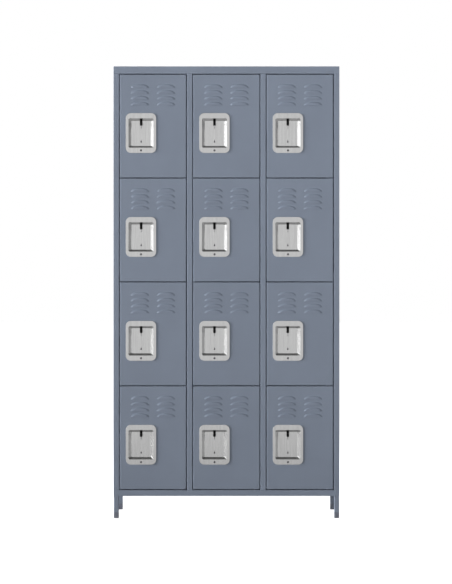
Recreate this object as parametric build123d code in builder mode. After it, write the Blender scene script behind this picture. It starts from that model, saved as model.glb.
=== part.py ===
"""Twelve-door steel locker on four legs: three columns of four tiers.

Frame: +Z up, the doors face -Y, origin on the floor under the middle of the cabinet. Millimetres.
Each door is a folded pan that turns on two vertical pivot pins near its right edge. A drawn cup
near its left edge holds a lift trigger, which is fixed to the latch plate behind the cup.
"""

import os

from build123d import *

os.makedirs("parts", exist_ok=True)

# ------------------------------------------------------------------ driving sizes
WIDTH = 900.0
DEPTH = 400.0  # over the screws of the handle cups
HEIGHT = 1800.0
LEG_HEIGHT = 88.0
COLUMNS = 3
ROWS = 4

PANEL = 0.8  # sheet of the casing, partitions and shelves
FRAME = 1.0  # sheet of the mullions and doors
BEND = 2.0  # outside radius of a folded corner
FIT = 0.2  # gap between sheets that are welded or screwed together

MEMBER = 22.0  # face of a stile or mullion
TOP_RAIL = 30.0
BOTTOM_RAIL = 24.0
HINGE_RETURN = 30.0  # how far a frame member folds back on its hinge side
STRIKE_DEPTH = 22.0  # distance of the strike flange behind the front
STRIKE = 12.0  # how far the strike flange stands into the opening
PARTITION_FRONT = 12.0  # front edge of a partition, inside its mullion

DOOR_GAP = 3.0
ROW_GAP = 3.2
DOOR_DEPTH = 18.0
DOOR_LIP = 12.0
PIN_INSET = 24.5  # pivot axis from the hinge edge of the opening
PIN_DEPTH = 10.0  # pivot axis behind the front
PIN_RADIUS = 3.0
PIN_PLAY = 0.1
PIN_REACH = 9.0  # how far a pin enters a door
COLLAR_RADIUS = 5.0

LOUVRE_WIDTH = 78.0
LOUVRE_HEIGHT = 15.0
LOUVRE_PITCH = 23.2
LOUVRE_OFFSET = 52.0  # louvre centres either side of the door's middle
LOUVRE_DROP = 38.5  # door top to the first louvre's crown
LOUVRE_RISE = 3.6  # how far a louvre stands out
LOUVRES = 4

CUP_WIDTH = 121.0
CUP_HEIGHT = 159.0
CUP_CORNER = 20.0
CUP_PROUD = 2.6
LIP_SCREW_HEAD = 1.6
CUP_SHEET = 0.8
CUP_LEFT = 24.0  # door edge to cup
CUP_DROP = 153.6  # door top to cup
MOUTH_WIDTH, MOUTH_HEIGHT, MOUTH_CORNER = 97.0, 118.0, 7.0
WELL_WIDTH, WELL_HEIGHT, WELL_CORNER = 77.0, 104.0, 5.0
WELL_DEPTH = 21.4  # front of the door to the inside of the well

LIFT = 9.0  # travel of the trigger and latch
TRIGGER_WIDTH = 9.0
TRIGGER_BOTTOM, TRIGGER_TOP = 30.2, 44.0  # from the cup's middle
TRIGGER_FRONT = 3.4
LATCH_FRONT = 25.5
LATCH_SHEET = 2.0
LATCH_BOTTOM, LATCH_TOP = -48.0, 60.0  # the plate closes the trigger's slot from behind
ARM_BOTTOM, ARM_TOP = 15.0, 25.0
GUIDE_Z = -34.0  # guide rivet, from the cup's middle

SHELF_SETBACK = 38.0
SHELF_DEPTH = 12.0
BACK_FLANGE = 14.0
LIP = 18.0  # inward lip of the top panel at its sides and back
FRONT_LIP = 26.0
SIDE_FLANGE = 15.0  # end flanges of a side panel, and where they start and stop
SIDE_FLANGE_FRONT, SIDE_FLANGE_BACK = 40.0, 24.0
THROUGH = 1.0  # how far a cutter runs past the sheet that it cuts

LEG = 19.5
LEG_WALL = 1.2
LEG_CORNER = 2.5
LEG_PLATE = (34.0, 70.0)
LEG_PLATE_SHEET = 2.0
FOOT_HEIGHT = 24.0
BOLT_RADIUS = 3.0
SCREW_RADIUS = 2.4
ANCHOR_RADIUS = 4.0
ANCHOR_SPACING = 600.0

# ------------------------------------------------------------------ derived sizes
FRONT = -DEPTH / 2 + CUP_PROUD + LIP_SCREW_HEAD
BACK = DEPTH / 2
SIDE = WIDTH / 2
FLOOR = LEG_HEIGHT + BOTTOM_RAIL
CEILING = HEIGHT - TOP_RAIL
OPENING = (WIDTH - (COLUMNS + 1) * MEMBER) / COLUMNS
DOOR_WIDTH = OPENING - 2 * DOOR_GAP
DOOR_HEIGHT = (CEILING - FLOOR - 2 * DOOR_GAP - (ROWS - 1) * ROW_GAP) / ROWS
PIN_X = DOOR_WIDTH + DOOR_GAP - PIN_INSET  # from the door's left edge
CUP_X = CUP_LEFT + CUP_WIDTH / 2
CUP_Z = DOOR_HEIGHT - CUP_DROP - CUP_HEIGHT / 2
MULLIONS = [(c - (COLUMNS - 2) / 2) * (OPENING + MEMBER) for c in range(COLUMNS - 1)]
NOTCH_BOTTOM, NOTCH_TOP = ARM_TOP - 1.5, ARM_TOP + LIFT + 2
NOTCH_START = 2.5  # from the opening's edge


def opening_left(column):
    """X of the left edge of a column's opening."""
    return -SIDE + MEMBER + column * (OPENING + MEMBER)


def door_bottom(row):
    """Z of a door's lower edge. Row 0 is the top tier."""
    return FLOOR + DOOR_GAP + (ROWS - 1 - row) * (DOOR_HEIGHT + ROW_GAP)


def cell(row, column):
    """Where a door's own frame stands: its lower left front corner."""
    return Location((opening_left(column) + DOOR_GAP, FRONT, door_bottom(row)))


CELLS = [(r, c) for r in range(ROWS) for c in range(COLUMNS)]
ROW_GAP_LEVELS = [door_bottom(r) - ROW_GAP / 2 for r in range(ROWS - 1)]
PIN_XS = [opening_left(c) + OPENING - PIN_INSET for c in range(COLUMNS)]
PIN_BORE = PIN_RADIUS + PIN_PLAY / 2
PIN_Y = FRONT + PIN_DEPTH


def write(part, name):
    """Labels a finished piece and writes its STEP file."""
    part.label = name
    export_step(part, f"parts/{name}.step")


def block(low, high, mode=Mode.ADD):
    """A box between two corners, in the part being built."""
    size = [h - l for l, h in zip(low, high)]
    with Locations(tuple((l + h) / 2 for l, h in zip(low, high))):
        Box(*size, mode=mode)


def drill(points, radius, low, high):
    """Vertical round holes between two heights."""
    with Locations([(x, y, (low + high) / 2) for x, y in points]):
        Cylinder(radius, high - low, mode=Mode.SUBTRACT)


def folded(points, thickness, side, low, high):
    """A folded sheet: an open outline in plan, thickened to one side and extruded upwards."""
    with BuildPart() as sheet:
        with BuildSketch(Plane.XY.offset(low)):
            with BuildLine():
                FilletPolyline(*points, radius=BEND)
                offset(amount=thickness, side=side)
            make_face()
        extrude(amount=high - low)
    return sheet


# ------------------------------------------------------------------ casing
# Fastener places, shared by the pieces that they pass through.
SIDE_SCREW_YS = [-110.0, 110.0]
SIDE_SCREW_X = SIDE - PANEL - SIDE_FLANGE / 2
BACK_SCREW_Y = BACK - PANEL - BACK_FLANGE / 2
BACK_EDGES = (
    [-SIDE + PANEL + FIT]
    + [x + s * (PANEL / 2 + FIT) for x in MULLIONS for s in (-1, 1)]
    + [SIDE - PANEL - FIT]
)
BACK_SPANS = [(BACK_EDGES[2 * c], BACK_EDGES[2 * c + 1]) for c in range(COLUMNS)]
BACK_SCREW_XS = [a + (b - a) * share for a, b in BACK_SPANS for share in (0.2, 0.8)]
SEAM = 6.0  # over the three sheets that a seam screw passes
SEAM_SCREW_ZS = [FLOOR + (CEILING - FLOOR) * share for share in (0.17, 0.5, 0.83)]

with BuildPart() as top_panel:
    block((-SIDE, FRONT, CEILING), (SIDE, BACK, HEIGHT))
    fillet(top_panel.edges().filter_by(Axis.Z), BEND)
    fillet(top_panel.edges().group_by(Axis.Z)[-1], BEND)
    block(
        (-SIDE + PANEL, FRONT + PANEL, CEILING + PANEL),
        (SIDE - PANEL, BACK - PANEL, HEIGHT - PANEL),
        Mode.SUBTRACT,
    )
    block(
        (-SIDE + LIP, FRONT + FRONT_LIP, CEILING - THROUGH),
        (SIDE - LIP, BACK - LIP, CEILING + PANEL + THROUGH),
        Mode.SUBTRACT,
    )
    drill([(x, PIN_Y) for x in PIN_XS], PIN_BORE, CEILING - THROUGH, CEILING + PANEL + THROUGH)
    drill(
        [(s * SIDE_SCREW_X, y) for s in (-1, 1) for y in SIDE_SCREW_YS]
        + [(x, BACK_SCREW_Y) for x in BACK_SCREW_XS],
        SCREW_RADIUS + FIT,
        CEILING - THROUGH,
        CEILING + PANEL + THROUGH,
    )
    with Locations(Plane.XZ.offset(-BACK)):
        with Locations(
            [(s * ANCHOR_SPACING / 2, CEILING + TOP_RAIL / 2) for s in (-1, 1)]
        ):
            Cylinder(ANCHOR_RADIUS, 2 * (PANEL + THROUGH), mode=Mode.SUBTRACT)
write(top_panel.part, "top_panel")

LEG_CORNERS = {
    "front_left_leg": (-1, -1),
    "front_right_leg": (1, -1),
    "rear_left_leg": (-1, 1),
    "rear_right_leg": (1, 1),
}
LEG_EDGE = PANEL + FIT  # outside of the cabinet to the leg


def from_corner(corner, x, y):
    """A point in plan, x and y inwards from a leg's outer corner."""
    side, end = corner
    middle, half_depth = (FRONT + BACK) / 2, (BACK - FRONT) / 2
    return side * (SIDE - LEG_EDGE - x), middle + end * (half_depth - LEG_EDGE - y)


LEG_BOLT_X = 22.0  # bolts from the leg's outer corner
LEG_BOLT_YS = (38.0, 60.0)
LEG_BOLTS = [
    from_corner(corner, LEG_BOLT_X, y) for corner in LEG_CORNERS.values() for y in LEG_BOLT_YS
]

with BuildPart() as bottom_panel:
    block((-SIDE, FRONT, LEG_HEIGHT), (SIDE, BACK, FLOOR))
    fillet(bottom_panel.edges().filter_by(Axis.Z), BEND)
    block(
        (-SIDE + PANEL, FRONT + PANEL, LEG_HEIGHT - THROUGH),
        (SIDE - PANEL, BACK - PANEL, FLOOR - PANEL),
        Mode.SUBTRACT,
    )
    drill([(x, PIN_Y) for x in PIN_XS], PIN_BORE, FLOOR - PANEL - THROUGH, FLOOR + THROUGH)
    drill(LEG_BOLTS, BOLT_RADIUS + FIT, FLOOR - PANEL - THROUGH, FLOOR + THROUGH)
    drill(
        [(s * SIDE_SCREW_X, y) for s in (-1, 1) for y in SIDE_SCREW_YS]
        + [(x, BACK_SCREW_Y) for x in BACK_SCREW_XS],
        SCREW_RADIUS + FIT,
        FLOOR - PANEL - THROUGH,
        FLOOR + THROUGH,
    )
write(bottom_panel.part, "bottom_panel")


def finish_side(sheet, side):
    """Adds a side panel's top and bottom flanges, with their screw holes."""
    outer, inner = side * SIDE, side * (SIDE - PANEL - SIDE_FLANGE)
    with BuildPart() as panel:
        add(sheet.part)
        for low in (FLOOR, CEILING - PANEL):
            block(
                (min(outer, inner), FRONT + SIDE_FLANGE_FRONT, low),
                (max(outer, inner), BACK - SIDE_FLANGE_BACK, low + PANEL),
            )
        drill(
            [(side * SIDE_SCREW_X, y) for y in SIDE_SCREW_YS],
            SCREW_RADIUS + FIT,
            FLOOR - THROUGH,
            CEILING + THROUGH,
        )
    return panel


def cut_notches(edge):
    """Cuts a strike flange's notches, one beside each latch, from the opening's left edge."""
    for row in range(ROWS):
        middle = door_bottom(row) + CUP_Z
        block(
            (edge + NOTCH_START, FRONT + STRIKE_DEPTH - THROUGH, middle + NOTCH_BOTTOM),
            (edge + STRIKE + THROUGH, FRONT + STRIKE_DEPTH + FRAME + THROUGH, middle + NOTCH_TOP),
            Mode.SUBTRACT,
        )


left_outline = [
    (-SIDE, BACK),
    (-SIDE, FRONT),
    (-SIDE + MEMBER, FRONT),
    (-SIDE + MEMBER, FRONT + STRIKE_DEPTH),
    (-SIDE + MEMBER + STRIKE, FRONT + STRIKE_DEPTH),
]
left_sheet = folded(left_outline, PANEL, Side.LEFT, FLOOR, CEILING)
with BuildPart() as left_side_panel:
    add(finish_side(left_sheet, -1).part)
    cut_notches(opening_left(0))
write(left_side_panel.part, "left_side_panel")

right_outline = [
    (SIDE, BACK),
    (SIDE, FRONT),
    (SIDE - MEMBER, FRONT),
    (SIDE - MEMBER, FRONT + HINGE_RETURN),
    (SIDE - MEMBER + STRIKE, FRONT + HINGE_RETURN),
]
right_sheet = folded(right_outline, PANEL, Side.RIGHT, FLOOR, CEILING)
right_side_panel = finish_side(right_sheet, 1)
write(right_side_panel.part, "right_side_panel")

for name, x in zip(("left_mullion", "right_mullion"), MULLIONS):
    outline = [
        (x - PANEL / 2 - FIT, FRONT + HINGE_RETURN),
        (x - MEMBER / 2, FRONT + HINGE_RETURN),
        (x - MEMBER / 2, FRONT),
        (x + MEMBER / 2, FRONT),
        (x + MEMBER / 2, FRONT + STRIKE_DEPTH),
        (x + MEMBER / 2 + STRIKE, FRONT + STRIKE_DEPTH),
    ]
    with BuildPart() as mullion:
        add(folded(outline, FRAME, Side.LEFT, FLOOR, CEILING).part)
        cut_notches(x + MEMBER / 2)
    write(mullion.part, name)

for name, x in zip(("left_partition", "right_partition"), MULLIONS):
    with BuildPart() as partition:
        block(
            (x - PANEL / 2, FRONT + PARTITION_FRONT, FLOOR),
            (x + PANEL / 2, BACK - PANEL - FIT, CEILING - FIT),
        )
        block(
            (x - PANEL / 2, FRONT + FRONT_LIP + FIT, CEILING - MEMBER),
            (x + PANEL / 2, BACK - LIP - FIT, HEIGHT - PANEL - FIT),
        )
        with Locations([(x, BACK_SCREW_Y, z) for z in SEAM_SCREW_ZS]):
            Cylinder(SCREW_RADIUS + FIT, SEAM, rotation=(0, 90, 0), mode=Mode.SUBTRACT)
    write(partition.part, name)

back_names = ("left_back_panel", "centre_back_panel", "right_back_panel")
for name, (left, right) in zip(back_names, BACK_SPANS):
    with BuildPart() as back_panel:
        block((left, BACK - PANEL - BACK_FLANGE, FLOOR + FIT), (right, BACK, CEILING - FIT))
        fillet(back_panel.edges().group_by(Axis.Y)[-1], PANEL)
        block(
            (left + PANEL, BACK - PANEL - BACK_FLANGE - THROUGH, FLOOR + FIT + PANEL),
            (right - PANEL, BACK - PANEL, CEILING - FIT - PANEL),
            Mode.SUBTRACT,
        )
        drill(
            [(x, BACK_SCREW_Y) for x in BACK_SCREW_XS if left < x < right],
            SCREW_RADIUS + FIT,
            FLOOR - THROUGH,
            CEILING + THROUGH,
        )
        with Locations([(x, BACK_SCREW_Y, z) for x in MULLIONS for z in SEAM_SCREW_ZS]):
            Cylinder(SCREW_RADIUS + FIT, SEAM, rotation=(0, 90, 0), mode=Mode.SUBTRACT)
    write(back_panel.part, name)

# ------------------------------------------------------------------ shelves
SHELF_FRONT = FRONT + SHELF_SETBACK
SHELF_BACK = BACK - PANEL - BACK_FLANGE - 1
with BuildPart() as shelves:
    for left, right in BACK_SPANS:
        for level in ROW_GAP_LEVELS:
            top = level + 1
            bottom = top - SHELF_DEPTH
            block((left, SHELF_FRONT, bottom), (right, SHELF_BACK, top))
            block(
                (left + PANEL, SHELF_FRONT + PANEL, bottom - THROUGH),
                (right - PANEL, SHELF_BACK - PANEL, top - PANEL),
                Mode.SUBTRACT,
            )
write(shelves.part, "shelves")

# ------------------------------------------------------------------ legs
PLATE_TOP = FLOOR - PANEL
PLATE_BOTTOM = PLATE_TOP - LEG_PLATE_SHEET
for name, corner in LEG_CORNERS.items():
    with BuildPart() as leg:
        with BuildSketch(Plane.XY.offset(FOOT_HEIGHT)):
            with Locations(from_corner(corner, LEG / 2, LEG / 2)):
                RectangleRounded(LEG, LEG, LEG_CORNER)
                RectangleRounded(
                    LEG - 2 * LEG_WALL,
                    LEG - 2 * LEG_WALL,
                    LEG_CORNER - LEG_WALL,
                    mode=Mode.SUBTRACT,
                )
        extrude(amount=PLATE_BOTTOM - FOOT_HEIGHT)
        with BuildSketch(Plane.XY.offset(PLATE_BOTTOM)):
            with Locations(from_corner(corner, LEG_PLATE[0] / 2, LEG_PLATE[1] / 2)):
                RectangleRounded(*LEG_PLATE, LEG_CORNER)
        extrude(amount=LEG_PLATE_SHEET)
        drill(LEG_BOLTS, BOLT_RADIUS + FIT, PLATE_BOTTOM - THROUGH, PLATE_TOP + THROUGH)
    write(leg.part, name)

PLUG = LEG - 2 * LEG_WALL - FIT
PLUG_HEIGHT = 15.0
FOOT_CHAMFER = 1.2
with BuildPart() as foot_caps:
    places = [from_corner(corner, LEG / 2, LEG / 2) for corner in LEG_CORNERS.values()]
    with BuildSketch():
        with Locations(places):
            RectangleRounded(LEG, LEG, LEG_CORNER)
    extrude(amount=FOOT_HEIGHT)
    with BuildSketch(Plane.XY.offset(FOOT_HEIGHT)):
        with Locations(places):
            RectangleRounded(PLUG, PLUG, LEG_CORNER - LEG_WALL)
    extrude(amount=PLUG_HEIGHT)
    chamfer(foot_caps.edges().group_by(Axis.Z)[0], FOOT_CHAMFER)
write(foot_caps.part, "foot_caps")

BOLT_HEAD = 4.0
NUT_HEIGHT = 5.0
NUT_RADIUS = 5.5  # over the corners, and over a bolt head's
BOLT_END = 1.5  # how far a bolt stands out of its nut
with BuildPart() as leg_bolts:
    with BuildSketch(Plane.XY.offset(PLATE_BOTTOM - BOLT_HEAD)):
        with Locations(LEG_BOLTS):
            RegularPolygon(NUT_RADIUS, 6)
    extrude(amount=BOLT_HEAD)
    with BuildSketch(Plane.XY.offset(PLATE_BOTTOM - BOLT_HEAD)):
        with Locations(LEG_BOLTS):
            Circle(BOLT_RADIUS)
    extrude(amount=BOLT_HEAD + LEG_PLATE_SHEET + PANEL + NUT_HEIGHT + BOLT_END)
write(leg_bolts.part, "leg_bolts")

with BuildPart() as leg_nuts:
    with BuildSketch(Plane.XY.offset(FLOOR)):
        with Locations(LEG_BOLTS):
            RegularPolygon(NUT_RADIUS, 6)
            Circle(BOLT_RADIUS + PIN_PLAY, mode=Mode.SUBTRACT)
    extrude(amount=NUT_HEIGHT)
write(leg_nuts.part, "leg_nuts")

# ------------------------------------------------------------------ casing screws
SCREW_HEAD_RADIUS = 4.5
SCREW_HEAD = 2.4
SCREW_LENGTH = 8.0


def pan_screw(plane):
    """A pan-head screw whose head seats on the plane and whose shank goes the other way."""
    with Locations(plane):
        Cylinder(SCREW_HEAD_RADIUS, SCREW_HEAD, align=(Align.CENTER, Align.CENTER, Align.MIN))
        Cylinder(SCREW_RADIUS, SCREW_LENGTH, align=(Align.CENTER, Align.CENTER, Align.MAX))


with BuildPart() as panel_screws:
    for x, y in [(s * SIDE_SCREW_X, y) for s in (-1, 1) for y in SIDE_SCREW_YS]:
        pan_screw(Plane((x, y, FLOOR + PANEL), z_dir=(0, 0, 1)))
        pan_screw(Plane((x, y, CEILING - PANEL), z_dir=(0, 0, -1)))
    for x in BACK_SCREW_XS:
        pan_screw(Plane((x, BACK_SCREW_Y, FLOOR + FIT + PANEL), z_dir=(0, 0, 1)))
        pan_screw(Plane((x, BACK_SCREW_Y, CEILING - FIT - PANEL), z_dir=(0, 0, -1)))
    for x in MULLIONS:
        for z in SEAM_SCREW_ZS:
            seat = x - PANEL / 2 - FIT - PANEL
            pan_screw(Plane((seat, BACK_SCREW_Y, z), z_dir=(-1, 0, 0)))
write(panel_screws.part, "panel_screws")

# ------------------------------------------------------------------ pivots
TONGUE = 1.5
TONGUE_HALF_WIDTH = 6.0
with BuildPart() as pivot_tabs:
    for level in ROW_GAP_LEVELS:
        with BuildSketch(Plane.XY.offset(level - TONGUE / 2)):
            for x in PIN_XS:
                length = SHELF_SETBACK - PIN_DEPTH
                with Locations((x, PIN_Y + length / 2)):
                    Rectangle(2 * TONGUE_HALF_WIDTH, length)
                with Locations((x, PIN_Y)):
                    Circle(TONGUE_HALF_WIDTH)
                    Circle(PIN_BORE, mode=Mode.SUBTRACT)
        extrude(amount=TONGUE)
write(pivot_tabs.part, "pivot_tabs")


def rod(points, radius, low, high):
    """Vertical rods between two heights."""
    with Locations([(x, y, (low + high) / 2) for x, y in points]):
        Cylinder(radius, high - low)


def pivot_pin(low, high, collar_low, collar_high):
    """A vertical pin at every column, with its collar between two heights."""
    places = [(x, PIN_Y) for x in PIN_XS]
    rod(places, PIN_RADIUS, low, high)
    rod(places, COLLAR_RADIUS, collar_low, collar_high)


END_COLLAR = DOOR_GAP - 0.5
TAB_COLLAR = 0.6
PIN_TAIL = 6.0  # how far an end pin goes through the top or bottom panel
with BuildPart() as pivot_pins:
    pivot_pin(FLOOR - PIN_TAIL, FLOOR + DOOR_GAP + PIN_REACH, FLOOR, FLOOR + END_COLLAR)
    pivot_pin(CEILING - DOOR_GAP - PIN_REACH, CEILING + PIN_TAIL, CEILING - END_COLLAR, CEILING)
    for level in ROW_GAP_LEVELS:
        reach = ROW_GAP / 2 + PIN_REACH
        tab_top = level + TONGUE / 2
        pivot_pin(level - reach, level + reach, tab_top, tab_top + TAB_COLLAR)
write(pivot_pins.part, "pivot_pins")

# ------------------------------------------------------------------ keepers and buffers
KEEPER = 1.5
KEEPER_BOTTOM, KEEPER_TOP = -5.0, 48.0  # from the cup's middle
with BuildPart() as keepers:
    for row, column in CELLS:
        edge = opening_left(column)
        depth = FRONT + STRIKE_DEPTH + FRAME
        middle = door_bottom(row) + CUP_Z
        block(
            (edge + 1, depth, middle + KEEPER_BOTTOM),
            (edge + 1 + STRIKE, depth + KEEPER, middle + KEEPER_TOP),
        )
        block(
            (edge + NOTCH_START, depth - THROUGH, middle + NOTCH_BOTTOM),
            (edge + STRIKE + 1 + THROUGH, depth + KEEPER + THROUGH, middle + NOTCH_TOP),
            Mode.SUBTRACT,
        )
write(keepers.part, "keepers")

BUFFER_RADIUS = 4.0
BUFFER = STRIKE_DEPTH - DOOR_DEPTH - 0.3
BUFFER_X = 7.5  # from the opening's edge
BUFFER_Z = 60.0  # from a door's upper and lower edges
with BuildPart() as door_buffers:
    for row, column in CELLS:
        for z in (BUFFER_Z, DOOR_HEIGHT - BUFFER_Z):
            centre = (opening_left(column) + BUFFER_X, door_bottom(row) + z)
            with BuildSketch(Plane.XZ.offset(-(FRONT + STRIKE_DEPTH))):
                with Locations(centre):
                    Circle(BUFFER_RADIUS)
            extrude(amount=BUFFER)
write(door_buffers.part, "door_buffers")

# ------------------------------------------------------------------ door panel
# In the door's own frame: X from its left edge, Y behind its front face, Z from its lower edge.
LOUVRE_SLOPE = 6.0  # height over which a louvre rises from the door


def louvre_profile(inset):
    """Side view of a louvre, on a plane whose X is depth and whose Y is height."""
    with BuildLine() as outline:
        Polyline(
            (FRAME / 2 + 2 * inset, 0),
            (inset - LOUVRE_RISE, 0),
            (inset - LOUVRE_RISE, LOUVRE_HEIGHT - LOUVRE_SLOPE - inset / 2),
            (FRAME / 2 + 2 * inset, LOUVRE_HEIGHT - inset),
            close=True,
        )
    make_face(outline.edges())


with BuildPart() as louvre_hood:
    with BuildSketch(Plane.YZ):
        louvre_profile(0)
    extrude(amount=LOUVRE_WIDTH / 2, both=True)

with BuildPart() as louvre_hollow:
    with BuildSketch(Plane.YZ):
        louvre_profile(FRAME)
    extrude(amount=LOUVRE_WIDTH / 2 - FRAME, both=True)

FIRST_LOUVRE = DOOR_HEIGHT - LOUVRE_DROP - LOUVRE_HEIGHT
MOUTH_PLAY = 1.6  # from the drawn mouth to the edge of the door's cut-out
LIP_SCREW_HOLE = 2.2
LIP_SCREW_Z = -(CUP_HEIGHT + MOUTH_HEIGHT) / 4  # from the cup's middle
louvre_places = [
    (DOOR_WIDTH / 2 + s * LOUVRE_OFFSET, 0, FIRST_LOUVRE - n * LOUVRE_PITCH)
    for s in (-1, 1)
    for n in range(LOUVRES)
]

with BuildPart() as door_panel:
    block((0, 0, 0), (DOOR_WIDTH, DOOR_DEPTH, DOOR_HEIGHT))
    fillet(door_panel.edges().filter_by(Axis.Y), BEND)
    fillet(door_panel.edges().group_by(Axis.Y)[0], BEND)
    block(
        (FRAME, FRAME, FRAME),
        (DOOR_WIDTH - FRAME, DOOR_DEPTH - FRAME, DOOR_HEIGHT - FRAME),
        Mode.SUBTRACT,
    )
    block(
        (DOOR_LIP, DOOR_DEPTH - 2 * FRAME, DOOR_LIP),
        (DOOR_WIDTH - DOOR_LIP, DOOR_DEPTH + THROUGH, DOOR_HEIGHT - DOOR_LIP),
        Mode.SUBTRACT,
    )
    with BuildSketch(Plane.XZ.offset(THROUGH)):
        with Locations((CUP_X, CUP_Z)):
            RectangleRounded(
                MOUTH_WIDTH + 2 * MOUTH_PLAY, MOUTH_HEIGHT + 2 * MOUTH_PLAY, MOUTH_CORNER + MOUTH_PLAY
            )
        with Locations((CUP_X, CUP_Z + LIP_SCREW_Z)):
            Circle(LIP_SCREW_HOLE)
    extrude(amount=-FRAME - 2 * THROUGH, mode=Mode.SUBTRACT)
    with Locations(louvre_places):
        add(louvre_hood.part)
        add(louvre_hollow.part, mode=Mode.SUBTRACT)
    drill([(PIN_X, PIN_DEPTH)], PIN_RADIUS + PIN_PLAY, -THROUGH, DOOR_HEIGHT + THROUGH)

# ------------------------------------------------------------------ handle cup
# In the door's own frame, with the cup's middle at (CUP_X, CUP_Z).
SLOT_RADIUS = TRIGGER_WIDTH / 2 + 0.5
SLOT_BOTTOM, SLOT_TOP = TRIGGER_BOTTOM - 0.7, MOUTH_HEIGHT / 2 - 2.5
EYE_HALF = 1.5
EYE_BOTTOM, EYE_TOP = SLOT_BOTTOM - 9.5, TRIGGER_TOP - 2
EYE_FRONT = 7.4
SHACKLE = (13.5, TRIGGER_BOTTOM + 6.8)  # depth and height of the padlock hole
SHACKLE_RADIUS = 4.0


def front_plane(depth):
    """A sketch plane at a depth behind the door's front, centred on the cup, facing forwards."""
    return Plane((CUP_X, depth, CUP_Z), x_dir=(1, 0, 0), z_dir=(0, -1, 0))


def side_plane(x):
    """A sketch plane across the cup: its X is depth and its Y is height."""
    return Plane((CUP_X + x, 0, CUP_Z), x_dir=(0, 1, 0), z_dir=(1, 0, 0))


with BuildPart() as cup_shell:
    with BuildSketch(front_plane(0)):
        RectangleRounded(CUP_WIDTH, CUP_HEIGHT, CUP_CORNER)
    extrude(amount=CUP_PROUD)
    fillet(cup_shell.edges().group_by(Axis.Y)[0], CUP_PROUD - 0.5)
    with BuildSketch(front_plane(0)):
        RectangleRounded(
            CUP_WIDTH - 2 * CUP_SHEET, CUP_HEIGHT - 2 * CUP_SHEET, CUP_CORNER - CUP_SHEET
        )
    extrude(amount=CUP_PROUD - CUP_SHEET, mode=Mode.SUBTRACT)
    with BuildSketch(front_plane(-CUP_PROUD)):
        RectangleRounded(
            MOUTH_WIDTH + 2 * CUP_SHEET, MOUTH_HEIGHT + 2 * CUP_SHEET, MOUTH_CORNER + CUP_SHEET
        )
    with BuildSketch(front_plane(WELL_DEPTH + CUP_SHEET)):
        RectangleRounded(
            WELL_WIDTH + 2 * CUP_SHEET, WELL_HEIGHT + 2 * CUP_SHEET, WELL_CORNER + CUP_SHEET
        )
    loft()
    with BuildSketch(front_plane(-CUP_PROUD - 0.001)):
        RectangleRounded(MOUTH_WIDTH, MOUTH_HEIGHT, MOUTH_CORNER)
    with BuildSketch(front_plane(WELL_DEPTH)):
        RectangleRounded(WELL_WIDTH, WELL_HEIGHT, WELL_CORNER)
    loft(mode=Mode.SUBTRACT)
    with BuildSketch(front_plane(WELL_DEPTH + CUP_SHEET + 1)):
        with Locations((0, (SLOT_TOP + SLOT_BOTTOM + SLOT_RADIUS) / 2)):
            Rectangle(2 * SLOT_RADIUS, SLOT_TOP - SLOT_BOTTOM - SLOT_RADIUS)
        with Locations((0, SLOT_BOTTOM + SLOT_RADIUS)):
            Circle(SLOT_RADIUS)
        with Locations((0, (EYE_BOTTOM + SLOT_BOTTOM) / 2)):
            Rectangle(2 * (EYE_HALF + FIT), SLOT_BOTTOM - EYE_BOTTOM + 2)
    extrude(amount=12, mode=Mode.SUBTRACT)
    with BuildSketch(front_plane(WELL_DEPTH + 2)):
        with Locations((0, GUIDE_Z)):
            Circle(2.6)
    extrude(amount=4, mode=Mode.SUBTRACT)
    with BuildSketch(front_plane(1)):
        with Locations((0, LIP_SCREW_Z)):
            Circle(2.2)
    extrude(amount=6, mode=Mode.SUBTRACT)

# The fixed padlock eye: a tongue in the trigger's fork, on a base welded behind the well.
with BuildPart() as padlock_eye:
    back = WELL_DEPTH + CUP_SHEET + FIT / 2
    with BuildSketch(side_plane(-EYE_HALF)):
        with BuildLine():
            Polyline(
                (back, EYE_BOTTOM),
                (EYE_FRONT + 4, EYE_BOTTOM),
                (EYE_FRONT, EYE_BOTTOM + 6),
                (EYE_FRONT, EYE_TOP),
                (back, EYE_TOP),
                close=True,
            )
        make_face()
        with Locations(SHACKLE):
            Circle(SHACKLE_RADIUS, mode=Mode.SUBTRACT)
    extrude(amount=2 * EYE_HALF)
    with BuildSketch(front_plane(back + 1.5)):
        with Locations((0, EYE_BOTTOM + 4)):
            Rectangle(14, 9)
    extrude(amount=1.5)

# The guide rivet: its head shows in the well, and its shoulder runs in the latch plate's slot.
with BuildPart() as guide_rivet:
    with BuildSketch(front_plane(WELL_DEPTH - FIT / 2)):
        with Locations((0, GUIDE_Z)):
            Circle(3.2)
    extrude(amount=1.0)
    fillet(guide_rivet.edges().group_by(Axis.Y)[0], 0.6)
    with BuildSketch(front_plane(LATCH_FRONT + LATCH_SHEET + 0.4)):
        with Locations((0, GUIDE_Z)):
            Circle(2.5)
    extrude(amount=LATCH_FRONT + LATCH_SHEET + 0.4 - WELL_DEPTH + FIT / 2)
    with BuildSketch(front_plane(LATCH_FRONT + LATCH_SHEET + 1.6)):
        with Locations((0, GUIDE_Z)):
            Circle(4.5)
    extrude(amount=1.2)

# The screw through the cup's lower lip.
with BuildPart() as lip_screw:
    with BuildSketch(front_plane(-CUP_PROUD)):
        with Locations((0, LIP_SCREW_Z)):
            Circle(4.2)
    extrude(amount=LIP_SCREW_HEAD)
    fillet(lip_screw.edges().group_by(Axis.Y)[0], 1.0)
    with BuildSketch(front_plane(-CUP_PROUD)):
        with Locations((0, LIP_SCREW_Z)):
            Circle(2.0)
    extrude(amount=-9)
    with BuildSketch(front_plane(-CUP_PROUD - LIP_SCREW_HEAD)):
        with Locations((0, LIP_SCREW_Z)):
            Rectangle(4.4, 1.0)
            Rectangle(1.0, 4.4)
    extrude(amount=-1.0, mode=Mode.SUBTRACT)

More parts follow.
